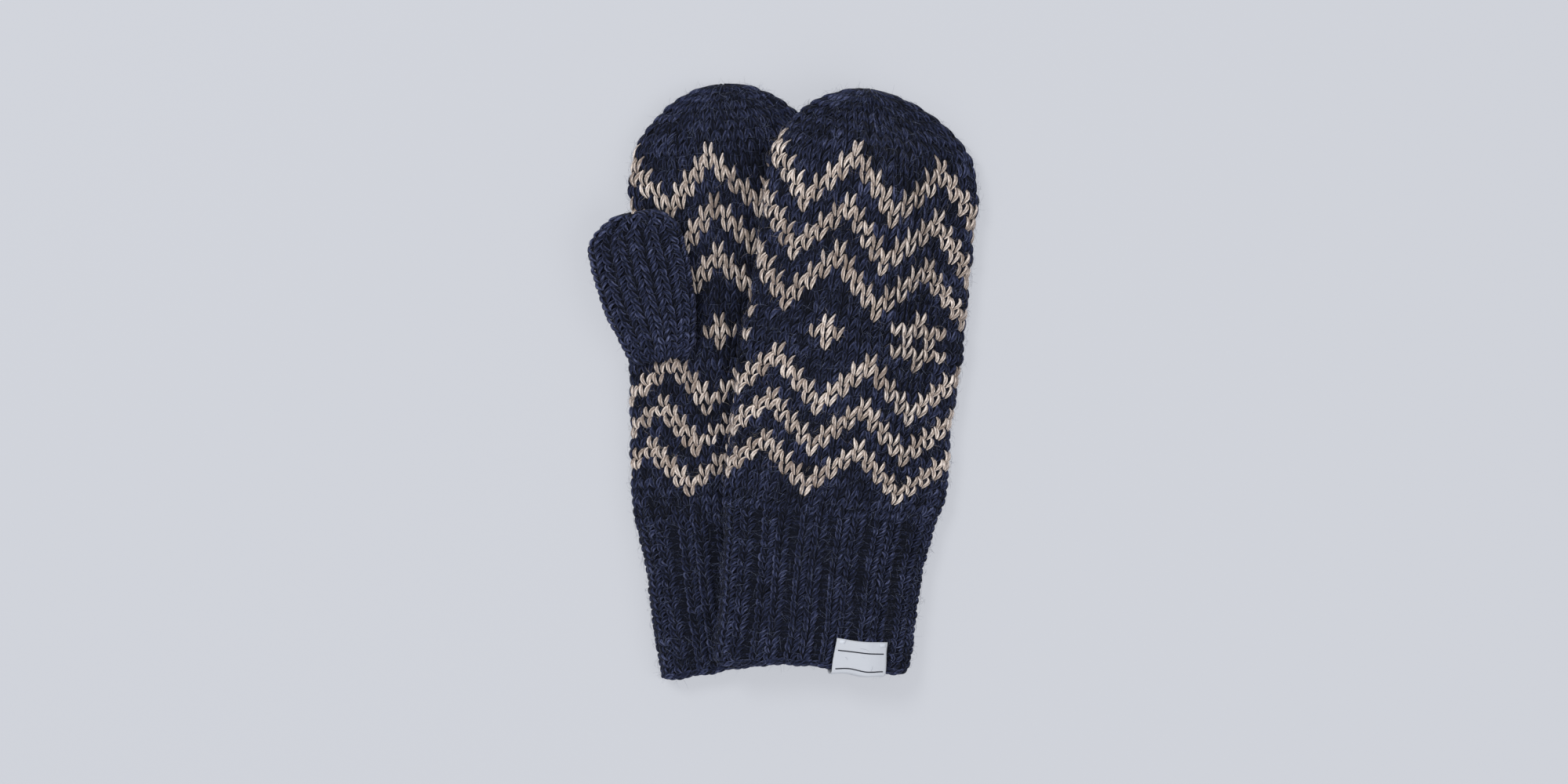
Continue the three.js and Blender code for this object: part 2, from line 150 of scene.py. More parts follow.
# Its edges from the mitten's middle, the top of its outer leaf, and its length inside the cuff.
LABEL = {"left": 10.0, "right": 34.0, "top": 14.0, "tuck": 9.0}
LABEL_CLOTH = 0.3            # thickness of the label
LABEL_OUT = 1.1              # how far the label stands off the fabric
LABEL_LIFT = 0.35            # how much further its top edge does
LABEL_LINES = (8.6, 0.3)     # heights of its two lines
TACK_HEIGHT = 12.6
TACK_STEP = 0.32             # between the threads of a tack


# ---- plain helpers ------------------------------------------------------------------------
def smooth(low, high, value):
    t = np.clip((value - low) / (high - low), 0, 1)
    return t * t * (3 - 2 * t)


def station(table, at, column):
    return np.interp(at, [row[0] for row in table], [row[column] for row in table])


def unit(vectors):
    return vectors / np.maximum(np.linalg.norm(vectors, axis=-1, keepdims=True), 1e-9)


# ---- the mitten's surface -----------------------------------------------------------------
def flattened(lap, w, t):
    """A point on a flattened tube: lap 0 is the left fold, 1 the right one, 1 to 2 underneath."""
    lap = np.mod(lap, 2.0)
    under = lap > 1
    rho = np.minimum(t / 2, w)
    flat = w - rho
    arc = math.pi * rho / 2
    run = np.where(under, 2 - lap, lap) * (2 * flat + 2 * arc)
    past = run - arc - 2 * flat
    x = np.where(run < arc, -flat - rho * np.cos(run / rho),
                 np.where(past > 0, flat + rho * np.sin(past / rho), run - arc - flat))
    rise = np.where(run < arc, rho * np.sin(run / rho),
                    np.where(past > 0, rho * np.cos(past / rho), rho))
    return x, t / 2 + np.where(under, -rise, rise) * (t / 2) / rho


def carry(a, b, x, y):
    """Turns a point of mitten a's own plane into mitten b's."""
    ta, tb = math.radians(a["turn"]), math.radians(-b["turn"])
    px = a["x"] + x * math.cos(ta) - y * math.sin(ta) - b["x"]
    py = a["y"] + x * math.sin(ta) + y * math.cos(ta) - b["y"]
    return px * math.cos(tb) - py * math.sin(tb)


def support(m, x, y):
    """Height of what the mitten lies on: the floor, its neighbour or its own thumb."""
    if m["palm_up"]:
        return 0 * x
    across = carry(m, LEFT, x, y)
    start, end, widening = NEIGHBOUR_DRAPE
    on_neighbour = 1 - smooth(start, end + widening * smooth(0, 100, y), across)
    tx, ty, _ = m["thumb"]
    below, above, beside = THUMB_DRAPE
    over_thumb = (smooth(ty - below[0], ty - below[1], y)
                  * (1 - smooth(ty + above[0], ty + above[1], y))
                  * (1 - smooth(tx + beside[0], tx + beside[1], x)))
    flat = UNDER_LIFT * on_neighbour
    return flat + (UNDER_LIFT + THUMB_LIFT - flat) * over_thumb


def to_world(m, x, y, z):
    """From a mitten's own plane, in millimetres, to the row frame, in metres."""
    t = math.radians(m["turn"])
    shift = PAIR_SHIFT
    return np.stack([m["x"] + x * math.cos(t) - y * math.sin(t) + shift[0],
                     m["y"] + x * math.sin(t) + y * math.cos(t) + shift[1], z], -1) * MM


def surface(m, lap, y, depth):
    """A point `depth` under the mitten's skin, at height y above the hem."""
    lap, y, depth = np.broadcast_arrays(*(np.asarray(v, float) for v in (lap, y, depth)))
    across = np.abs(np.mod(lap + 1, 2) - 1) * 2 - 1
    y = y + station(m["tilt"], y, 1) * across
    uneven = smooth(70, 100, y)
    left = station(m["outline"], y, 1) + uneven * WOBBLE * np.sin(y * 0.31 + m["turn"])
    right = station(m["outline"], y, 2) + uneven * WOBBLE * np.sin(y * 0.27 - m["turn"])
    t = np.clip((y - CROWN_START) / m["crown"], 0, 0.9995)
    y = np.minimum(y, CROWN_START + m["crown"])
    near, far = ((1 - t ** a) ** b for a, b in m["shoulders"])
    half = (right - left) / 2 * (near + far) / 2
    shift = (right - left) / 2 * (far - near) / 2
    thick = LOFT * np.sqrt((1 - CROWN_THIN * t * t) * (1 - t ** 10))
    sunk = np.minimum(depth, 0.45 * thick)
    dx, dz = flattened(lap, np.maximum(half - depth, 0.3), np.maximum(thick - 2 * sunk, 0.4))
    x = (left + right) / 2 + m["drift"] * t + shift + dx
    z = support(m, x, y) + sunk + dz
    hem = m["rise"] * smooth(-46, 5, x) * (1 - smooth(0, 60, y))
    sag = m["sag"] * (1 - smooth(-38, -6, x)) * smooth(-48, -40, x) * (1 - smooth(0, 45, y))
    wave = SCALLOP * np.cos(math.pi * (RIBS * lap - RIB_PHASE)) * (1 - smooth(0, 12, y))
    return to_world(m, x, y + hem - sag - wave, z)


def thumb_surface(m, lap, along, depth):
    """The same on the thumb, `along` past the middle of its opening. It grows out of the palm."""
    lap, along, depth = np.broadcast_arrays(*(np.asarray(v, float) for v in (lap, along, depth)))
    tx, ty, lean = m["thumb"]
    last = THUMB_WIDTH[-1][0]
    t = np.clip((along - last) / THUMB_TIP, 0, 0.9995)
    half = station(THUMB_WIDTH, along, 1) * np.sqrt(1 - t * t)
    thick = THUMB_LOFT * np.sqrt((1 - 0.5 * t * t) * (1 - t ** 10))
    if m["palm_up"]:
        thick = thick * (0.16 + 0.84 * smooth(-13, 16, along))
    sunk = np.minimum(depth, 0.4 * thick)
    dx, dz = flattened(lap, np.maximum(half - depth, 0.3), np.maximum(thick - 2 * sunk, 0.4))
    a = math.radians(lean)
    along = np.minimum(along, last + THUMB_TIP)
    if m["palm_up"]:
        dx = dx + station(THUMB_BEND, along, 1)
    x = tx + dx * math.cos(a) - along * math.sin(a)
    y = ty + dx * math.sin(a) + along * math.cos(a)
    base = support(m, x * 0 + tx, x * 0 + ty)
    up = 1 if m["palm_up"] else -1
    level = base + (LOFT if m["palm_up"] else 0)
    droop = THUMB_DROOP * smooth(48, 76, -x) if m["palm_up"] else 0
    return to_world(m, x, y, level + up * (2 * GAP + sunk + dz) - droop)


def outward(place, lap, y, depth):
    """Outward normals of a surface, from its own small steps."""
    e, f = 0.004, 0.3
    du = place(lap + e, y, depth) - place(lap - e, y, depth)
    dy = place(lap, y + f, depth) - place(lap, y - f, depth)
    return unit(np.cross(du, dy))


# The pair's place in the row frame: its lower mitten's hem is where the frame's is.
def pair_shift():
    laps = np.linspace(0, 2, 400)
    hem = surface({**LEFT, "rise": 0.0, "outline": [(0, -46.5, 44)]}, laps, 0, 0) / MM
    low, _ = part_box("left_cast_on_edge")
    return (low.x / MM - hem[:, 0].min(), low.y / MM - hem[:, 1].min())


PAIR_SHIFT = (0.0, 0.0)
PAIR_SHIFT = pair_shift()


# ---- mesh building ------------------------------------------------------------------------
def fill_mesh(name, points, polygons, strand, shade):
    """A smooth mesh. polygons: arrays of faces with the same number of corners each."""
    mesh = bpy.data.meshes.new(name)
    mesh.vertices.add(len(points))
    mesh.vertices.foreach_set("co", points.astype(np.float32).ravel())
    loops = np.concatenate([faces.ravel() for faces in polygons]).astype(np.int32)
    mesh.loops.add(len(loops))
    mesh.loops.foreach_set("vertex_index", loops)
    corners = np.concatenate([np.full(len(faces), faces.shape[1]) for faces in polygons])
    starts = (np.cumsum(corners) - corners).astype(np.int32)
    mesh.polygons.add(len(starts))
    mesh.polygons.foreach_set("loop_start", starts)
    mesh.update(calc_edges=True)
    mesh.polygons.foreach_set("use_smooth", np.ones(len(starts), bool))
    attribute = mesh.attributes.new("strand", "FLOAT_VECTOR", "POINT")
    attribute.data.foreach_set("vector", strand.astype(np.float32).ravel())
    attribute = mesh.attributes.new("shade", "FLOAT", "POINT")
    attribute.data.foreach_set("value", shade.astype(np.float32))
    return mesh


def new_object(name, mesh, *materials):
    for material in materials:
        mesh.materials.append(material)
    mesh.validate()
    piece = bpy.data.objects.new(name, mesh)
    bpy.context.scene.collection.objects.link(piece)
    return piece


class Yarn:
    """Collects closed tubes, then makes one mesh of them."""

    def __init__(self):
        self.points, self.quads, self.tris, self.strand, self.shade = [], [], [], [], []
        self.count = 0

    def add(self, centres, normals, radius, sides=8, flat=1.0, groove=0.0, twist=TWIST,
            shade=None):
        """Tubes of two plies. centres, normals: (n, k, 3) in metres. radius: (n, k) in metres."""
        n, k, _ = centres.shape
        tangent = unit(np.gradient(centres, axis=1))
        across = unit(np.cross(tangent, normals))
        up = np.cross(across, tangent)
        along = np.concatenate([np.zeros((n, 1)), np.cumsum(
            np.linalg.norm(np.diff(centres, axis=1), axis=2), axis=1)], axis=1) / MM
        angle = np.arange(sides) * 2 * math.pi / sides
        middle = along - along[:, -1:] / 2 + ((np.arange(n) * 0.618) % 1 - 0.5)[:, None] * 2.4
        turned = angle[None, None, :] + middle[:, :, None] * twist
        lobe = np.abs(np.cos(turned)) ** 0.8
        r = radius[:, :, None] * (1 + groove * (2 * lobe - 1.2))
        ring = (centres[:, :, None, :] + (r * np.cos(angle))[..., None] * across[:, :, None, :]
                + (r * np.sin(angle) * flat)[..., None] * up[:, :, None, :])
        first, last = centres[:, 0], centres[:, -1]
        points = np.concatenate([ring.reshape(n, k * sides, 3), first[:, None], last[:, None]], 1)
        points[..., 2] = np.maximum(points[..., 2], 0)
        size = k * sides + 2
        i = np.arange(sides)
        j = (i + 1) % sides
        rows = np.arange(k - 1)[:, None] * sides
        quads = np.stack([rows + i, rows + j, rows + sides + j, rows + sides + i], -1)
        quads = quads.reshape(-1, 4)
        end = (k - 1) * sides
        tris = np.concatenate([
            np.stack([j, i, np.full(sides, k * sides)], -1),
            np.stack([end + i, end + j, np.full(sides, k * sides + 1)], -1)])
        base = self.count + np.arange(n)[:, None, None] * size
        self.points.append(points.reshape(-1, 3))
        self.quads.append((quads[None] + base).reshape(-1, 4))
        self.tris.append((tris[None] + base).reshape(-1, 3))
        reach = radius[:, :, None] / MM
        local = np.stack([reach * np.cos(turned), reach * np.sin(turned),
                          np.broadcast_to(along[:, :, None], turned.shape)], -1)
        local = local.reshape(n, k * sides, 3)
        poles = np.stack([np.zeros((n, 2)), np.zeros((n, 2)), along[:, [0, -1]]], -1)
        local = np.concatenate([local, poles], 1)
        local[..., 0] += (self.count * 0.37 + np.arange(n)[:, None] * 7.3) % 977
        self.strand.append(local.reshape(-1, 3))
        tone = np.full((n, 1), 0.5) if shade is None else np.reshape(shade, (n, -1))
        tone = np.broadcast_to(tone, (n, k))
        # Painted shade: the colour darkens in the groove between the two plies.
        ring_tone_and_groove_shade = tone[:, :, None] - 5 * groove * (1 - lobe) ** 2
        self.shade.append(np.concatenate([ring_tone_and_groove_shade.reshape(n, -1), tone[:, [0, -1]]], 1).ravel())
        self.count += n * size

    def build(self, name, *materials):
        points = np.concatenate(self.points)
        faces = [np.concatenate(self.quads), np.concatenate(self.tris)]
        mesh = fill_mesh(name, points, faces, np.concatenate(self.strand),
                         np.concatenate(self.shade))
        return new_object(name, mesh, *materials)


# ---- stitches -----------------------------------------------------------------------------
def knit_stitches(yarn, place, lap, y, width, pitch, lap_width, rng, radius=LEG, sides=8,
                  base_depth=SINK, spread=0.47, skew=0.0, long=1.62, groove=0.3, end_shade=0.8,
                  thin=0.16, light=0.52, uneven=0.13):
    """Two legs of each stockinette stitch: a V that opens upwards and tucks under the next.

    spread is half the width of the V in stitches, long its height in rows, thin the leg's
    thickness at its ends, and fade how much painted shade darkens the ends, where they
    dive into the fabric.
    """
    n = len(lap)

    def vary(mean, spread_of):
        return rng.normal(mean, spread_of, n)[:, None]
    t = np.linspace(0, 1, 8)[None, :]
    tone = vary(light, uneven)
    lean, lift, stretch = vary(skew, 0.05), vary(0, 0.2), vary(1.0, 0.05)
    crest = np.sin(math.pi * np.clip(0.03 + 0.93 * t, 0, 1))
    for side in (-1, 1):
        reach = 0.055 + (spread - 0.055) * t ** 0.95 + vary(0, 0.018)
        sway = vary(0, 0.02) * np.sin(2 * math.pi * t + vary(0, 2.0))
        h = -0.2 + long * t * stretch
        depth = base_depth + 1.75 - 1.95 * crest ** 0.75 + 0.5 * smooth(0.75, 1.0, t) - lift * 0.6
        u = lap[:, None] + (side * reach + sway + lean * (t - 0.35)) * lap_width[:, None]
        v = y[:, None] + h * pitch[:, None]
        body = (thin + (1 - thin) * crest ** 0.9) * (0.78 + 0.22 * smooth(0.1, 0.55, t))
        r = radius * body * vary(1.0, 0.07) * np.minimum(1.1, width[:, None] / 5.0)
        # Painted shade: each leg darkens towards its ends, where it dives under its neighbours.
        shade = tone + vary(0, 0.07) - end_shade * (1 - crest) ** 1.3
        yarn.add(place(u, v, depth), outward(place, u, v, depth), r * MM, sides=sides, flat=0.9,
                 groove=groove, shade=shade)


def purl_stitches(yarn, place, lap, y, pitch, lap_width, rng, base_depth):
    """The bumps of a purl stitch: the loop's head above and the strand between loops below."""
    n = len(lap)
    t = np.linspace(-1, 1, 7)[None, :]
    for shift, arch, offset in ((0.0, 0.30, 0.5), (0.5, -0.26, 0.02)):
        u = lap[:, None] + (t * 0.52 + shift) * lap_width[:, None]
        wobble = rng.normal(0, 0.05, n)[:, None]
        v = y[:, None] + (offset + wobble + arch * (1 - t * t)) * pitch[:, None]
        depth = base_depth + 0.9 * t * t + rng.normal(0, 0.1, n)[:, None]
        r = PURL * (0.55 + 0.45 * np.cos(t * 1.35)) * np.ones((n, 1))
        # Painted shade: the purl bumps get a low tone, darker than the knit ribs, for the shade in
        # the rib's valleys.
        yarn.add(place(u, v, depth), outward(place, u, v, depth), r * MM, groove=0.15,
                 shade=rng.normal(0.12, 0.1, n))


def fibres(yarn, place, u, v, rng, long=(2.5, 7.0), thick=0.035, depth=0.2, lift=0.9):
    """Loose fibres of the wool: fine tapered hairs that lie on the fabric or stand off it."""
    count = len(u)
    centre = place(u, v, depth)
    normal = outward(place, u, v, depth)
    guide = unit(np.cross(normal, rng.normal(0, 1, (count, 3))))
    length = rng.uniform(*long, count)[:, None] * MM
    bend = rng.normal(0, 0.35, (count, 1)) * np.cross(normal, guide)
    rise = np.abs(rng.normal(0, lift, (count, 1))) * MM * normal
    steps = []
    for s in (0, 0.33, 0.67, 1.0):
        steps.append(centre + guide * length * s + bend * length * s * s
                     + rise * math.sin(math.pi * (0.1 + 0.7 * s)))
    centres = np.stack(steps, 1)
    normals = np.repeat(normal[:, None], 4, 1)
    r = np.broadcast_to(np.array([0.7, 1.0, 0.8, 0.3]) * thick * MM, (count, 4))
    yarn.add(centres, normals, r, sides=3, shade=rng.uniform(0, 1, count))


# ---- the colour pattern -------------------------------------------------------------------
SNOWFLAKE = ["..X..", "XXXXX", ".X.X.", "XXXXX", "..X.."]
DOT = [".X.", "XXX", ".X."]
MOTIF_ROW = 15                              # the middle row of the dots and snowflakes
BAND_STARTS = (0, 4, 8, 17, 21, 25)         # the lowest row of each zigzag
BAND_ROWS = 2
LOWER_BANDS = 3                             # below the motifs, half a repeat out of step
MOTIF_NAMES = ("snowflake_fold", "dot_above", "snowflake_above", "dot_below", "snowflake_below")


def band_at(column, row):
    """The number of the zigzag that a stitch belongs to, or None."""
    for k, start in enumerate(BAND_STARTS):
        trough = REPEAT / 2 if k < LOWER_BANDS else 0
        along = (column - trough) % REPEAT
        step = min(along, REPEAT - along)
        if start + step <= row < start + step + BAND_ROWS:
            return k
    return None


def tan_group(column, row):
    """The name of the band or motif that a tan stitch belongs to."""
    band = band_at(column, row)
    if band is not None:
        return f"chevron_{band + 1}"
    return MOTIF_NAMES[round((column - EDGE_STITCH) / REPEAT) % len(MOTIF_NAMES)]


def is_tan(column, row):
    """Whether the stitch at this column and row of the chart is knitted in the tan yarn."""
    if band_at(column, row) is not None:
        return True
    for chart, middle in ((SNOWFLAKE, -4), (DOT, 4)):
        across = (column - middle + REPEAT) % (2 * REPEAT) - REPEAT
        if column < 0:
            across += 1             # the round begins inside a snowflake, which loses a stitch
        reach = len(chart) // 2
        up = row - MOTIF_ROW
        if abs(across) <= reach and abs(up) <= reach:
            return chart[reach - up][across + reach] == "X"
    return False


def row_height(m, row):
    return m["first_row"] + ROW_START * row + ROW_GROWTH * row * row


def column_lap(m, column, y):
    return (column - station(m["centre_column"], y, 1)) / FACE + 0.5


def hand_grid(rows):
    """Column and row numbers of every stitch round the hand."""
    columns = np.arange(EDGE_STITCH, EDGE_STITCH + STITCHES)
    return np.array([(c, r) for r in rows for c in columns])


# ---- materials ----------------------------------------------------------------------------
def new_material(name):
    material = bpy.data.materials.new(name)
    material.use_nodes = True
    tree = material.node_tree
    shader = tree.nodes["Principled BSDF"]
    return material, tree, shader


def wool(name, dark, mid, light, sheen=0.25, streak=2.4):
    """Plied wool: fibres that run along the yarn and wind round it, in a heathered colour."""
    material, tree, shader = new_material(name)
    nodes, links = tree.nodes, tree.links
    strand = nodes.new("ShaderNodeAttribute")
    strand.attribute_name = "strand"
    shade = nodes.new("ShaderNodeAttribute")
    shade.attribute_name = "shade"
    stretch = nodes.new("ShaderNodeMapping")
    stretch.inputs["Scale"].default_value = (streak, streak, streak * 0.22)
    links.new(strand.outputs["Vector"], stretch.inputs["Vector"])
    fibre = nodes.new("ShaderNodeTexNoise")
    fibre.inputs["Scale"].default_value = 1.0
    fibre.inputs["Detail"].default_value = 5.0
    fibre.inputs["Roughness"].default_value = 0.65
    links.new(stretch.outputs["Vector"], fibre.inputs["Vector"])
    mix = nodes.new("ShaderNodeMath")
    mix.operation = "MULTIPLY_ADD"
    mix.inputs[1].default_value = 0.35
    links.new(shade.outputs["Fac"], mix.inputs[0])
    soft = nodes.new("ShaderNodeMath")
    soft.operation = "SUBTRACT"
    soft.inputs[1].default_value = 0.175
    links.new(fibre.outputs["Fac"], soft.inputs[0])
    links.new(soft.outputs["Value"], mix.inputs[2])
    ramp = nodes.new("ShaderNodeValToRGB")
    ramp.color_ramp.elements[0].position = 0.30
    ramp.color_ramp.elements[0].color = (*dark, 1)
    ramp.color_ramp.elements[1].position = 0.72
    ramp.color_ramp.elements[1].color = (*light, 1)
    middle = ramp.color_ramp.elements.new(0.5)
    middle.color = (*mid, 1)
    links.new(mix.outputs["Value"], ramp.inputs["Fac"])
    links.new(ramp.outputs["Color"], shader.inputs["Base Color"])
    bump = nodes.new("ShaderNodeBump")
    bump.inputs["Strength"].default_value = 0.55
    bump.inputs["Distance"].default_value = 0.0003
    links.new(fibre.outputs["Fac"], bump.inputs["Height"])
    links.new(bump.outputs["Normal"], shader.inputs["Normal"])
    shader.inputs["Roughness"].default_value = 0.88
    shader.inputs["Specular IOR Level"].default_value = 0.11
    shader.inputs["Sheen Weight"].default_value = sheen
    shader.inputs["Sheen Roughness"].default_value = 0.45
    return material


NAVY = wool("navy_wool", (0.0025, 0.0035, 0.008), (0.0208, 0.0268, 0.0645), (0.115, 0.13, 0.228),
            sheen=0.06)
TAN = wool("tan_wool", (0.22, 0.17, 0.14), (0.72, 0.62, 0.55), (0.95, 0.87, 0.81), sheen=0.08)
# Painted shade: the ground under the stitches is near black, for the shade in the gaps between
# them.
SHADE_GROUND = wool("navy_ground_painted_shade", (0.003, 0.004, 0.008), (0.006, 0.007, 0.015), (0.012, 0.014, 0.03),
              sheen=0.05)


def add_piece(yarn, name, body, slot, nodes, *materials):
    piece = yarn.build(name, *materials)
    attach(piece, body)
    if nodes:
        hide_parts(*nodes)
    return piece


# ---- the opaque ground under the stitches, near black with painted shade ------------------
def shell(name, place, heights, inner_depth, material, laps=96, backing=BACKING):
    """A closed fabric tube: its outside lies under the stitches, its inside is the lining face."""
    around = np.linspace(0, 2, laps, endpoint=False)[None, :]
    heights = np.asarray(heights)[:, None]
    rows = np.arange(len(heights))[:, None]
    outer = place(around, heights, backing + 0.12 * np.sin(around * 61) * np.cos(rows * 2.2))
    inner = place(around, heights, inner_depth + 0.15 * np.cos(around * 126) * np.cos(rows * 3.1))
    rings = np.concatenate([outer, inner[::-1]])
    count = len(rings)
    points = rings.reshape(-1, 3)
    i = np.arange(laps)
    j = (i + 1) % laps
    r = np.arange(count)[:, None] * laps
    nxt = (np.arange(count)[:, None] + 1) % count * laps
    quads = np.stack([r + i, r + j, nxt + j, nxt + i], -1).reshape(-1, 4)
    inside = np.repeat(np.arange(count) >= count // 2, laps)
    mesh = fill_mesh(name, points, [quads], points / MM, np.where(inside, 0.45, 0.0))
    mesh.polygons.foreach_set("material_index", inside.astype(np.int32))
    return new_object(name, mesh, material, NAVY)


# ---- one mitten ---------------------------------------------------------------------------
def hand_stitches(m, yarn, grid, rng, radius=LEG, sides=8):
    columns, rows = grid[:, 0].astype(float), grid[:, 1].astype(float)
    y = row_height(m, rows)
    pitch = ROW_START + 2 * ROW_GROWTH * rows
    half = (station(m["outline"], y, 2) - station(m["outline"], y, 1)) / 2
    width = (half * 4 - YARN_SLACK) / STITCHES

    def place(lap, height, depth):
        return surface(m, lap, height, depth)
    lap = column_lap(m, columns, y + 0.5 * pitch)
    knit_stitches(yarn, place, lap, y, width, pitch, np.full(len(y), 1 / FACE), rng,
                  radius=radius, sides=sides, skew=m["skew"])


def crown_rows(m):
    """Rows of the fingertips: their heights, pitches and stitch counts, fewer towards the tip."""
    start = row_height(m, TOP_ROW)
    angle = math.asin((start - CROWN_START) / m["crown"])
    rows = []
    y = start
    while y < CROWN_START + m["crown"] - 2.0:
        slope = max(0.34, math.cos(angle))
        pitch = CROWN_PITCH * slope ** 0.7
        half = CROWN_HALF * math.cos(angle)
        count = max(6, int(round(half * 4 / CROWN_STITCH / 2)) * 2)
        rows.append((y, pitch, min(STITCHES, count)))
        y += pitch
        angle = math.asin(min(0.9999, (y - CROWN_START) / m["crown"]))
    return rows


def mitten(m, rng):
    side = m["side"]
    body = f"{side}_mitten"

    def place(lap, height, depth):
        return surface(m, lap, height, depth)

    def piece(yarn, name, slot, nodes, *materials):
        return add_piece(yarn, f"{side}_{name}", body, slot, [f"{side}_{n}" for n in nodes],
                         *materials)

    # The navy stitches of the hand in three lengths, and the tan ones band by band.
    grid = hand_grid(range(-m["plain_rows"], TOP_ROW))
    tan = np.array([is_tan(c, r) for c, r in grid])
    navy = grid[~tan]
    for part, low, high in (("lower", -9, 8), ("middle", 8, 20), ("upper", 20, TOP_ROW)):
        yarn = Yarn()
        hand_stitches(m, yarn, navy[(navy[:, 1] >= low) & (navy[:, 1] < high)], rng)
        piece(yarn, f"hand_{part}_knit", "navy_wool", ["hand"], NAVY)
    groups = {}
    for c, r in grid[tan]:
        groups.setdefault(tan_group(c, r), []).append((c, r))
    for name, cells in groups.items():
        yarn = Yarn()
        hand_stitches(m, yarn, np.array(cells), rng, radius=TAN_LEG, sides=12)
        node = f"{side}_{name}"
        piece(yarn, f"{name}_stitches", "tan_wool", [name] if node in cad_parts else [], TAN)

    # Fingertips.
    yarn = Yarn()
    for k, (y, pitch, count) in enumerate(crown_rows(m)):
        lap = (np.arange(count) + 0.5 * (k % 2)) * 2 / count
        half = CROWN_HALF * math.sqrt(max(0.02, 1 - ((y - CROWN_START) / m["crown"]) ** 2))
        width = np.full(count, half * 4 / count)
        knit_stitches(yarn, place, lap, np.full(count, y), width, np.full(count, pitch),
                      np.full(count, 2 / count), rng)
    piece(yarn, "crown_knit", "navy_wool", ["crown"], NAVY)

    # Ribbing: two wide knit columns stand proud of two narrow purl ones, each with its share
    # of the rib's width and the place of its middle.
    knit, purl = Yarn(), Yarn()
    period = 2 / RIBS
    rib_rows = np.arange(2.2, CUFF_TOP + 0.5, RIB_ROW)
    cuff_width = station(m["outline"], CUFF_TOP / 2, 2) - station(m["outline"], CUFF_TOP / 2, 1)
    around = (cuff_width * 2 - YARN_SLACK) / RIBS
    for share, centre in ((0.4, 0.37), (0.4, 0.77)):
        for y in rib_rows:
            lap = (np.arange(RIBS) + centre + 0.02 * math.sin(y * 0.11)) * period
            n = len(lap)
            knit_stitches(knit, place, lap, np.full(n, y), np.full(n, share * around),
                          np.full(n, RIB_ROW), np.full(n, share * period), rng, radius=0.88,
                          spread=0.455, skew=0.6 * m["skew"], long=1.45, sides=10, end_shade=0.4,
                          thin=0.4, light=0.53, uneven=0.08)
    for share, centre in ((0.1, 0.02), (0.1, 0.12)):
        for y in rib_rows:
            lap = (np.arange(RIBS) + centre + 0.02 * math.sin(y * 0.11)) * period
            n = len(lap)
            purl_stitches(purl, place, lap, np.full(n, y), np.full(n, RIB_ROW),
                          np.full(n, share * period), rng, 1.2)
    piece(knit, "cuff_knit_ribs", "navy_wool", ["cuff"], NAVY)
    piece(purl, "cuff_purl_ribs", "navy_wool", ["cuff"], NAVY)

    # Cast-on edge: three courses of slanting loops round the rim of the cuff.
    yarn = Yarn()
    loops = RIBS * 4
    t = np.linspace(-1, 1, 7)[None, :]
    for depth, height, slant in ((0.75, 1.5, 0.9), (2.0, 0.75, 0.3), (3.1, 1.5, -0.9)):
        lap = (np.arange(loops) + 0.5)[:, None] * 2 / loops
        u = lap + t * 0.85 / loops * 2 * 0.75
        v = height + slant * t
        d = depth + 0.35 * np.abs(t) + 0 * u
        r = 1.0 * np.sqrt(1 - 0.75 * t * t) * rng.normal(1, 0.05, (loops, 1))
        yarn.add(place(u, v, d), outward(place, u, v, d), r * MM, groove=0.2,
                 shade=rng.normal(0.45, 0.12, loops))
    piece(yarn, "cast_on_loops", "navy_wool", ["cast_on_edge"], NAVY)

    tip = CROWN_START + m["crown"]
    heights = [*np.arange(1.2, tip - 8, 2.2), *np.linspace(tip - 8, tip - 1.2, 9)]
    ground = shell(f"{side}_ground", place, heights, WALL, SHADE_GROUND)
    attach(ground, body)

    for part, low, high in (("cuff", 1, 72), ("lower", 72, 150), ("upper", 150, tip - 2)):
        yarn = Yarn()
        count = int(NAVY_FIBRES * (high - low))
        fibres(yarn, place, rng.uniform(0, 2, count), rng.uniform(low, high, count), rng)
        piece(yarn, f"{part}_halo", "navy_wool", [], HALO)
    cells = grid[tan][rng.integers(0, tan.sum(), TAN_FIBRES)]
    v = row_height(m, cells[:, 1]) + rng.uniform(0, 7, len(cells))
    u = column_lap(m, cells[:, 0] + rng.uniform(-0.5, 0.5, len(cells)), v)
    yarn = Yarn()
    fibres(yarn, place, u, v, rng, long=(1.5, 4.5))
    piece(yarn, "tan_halo", "tan_wool", [], TAN_HALO)


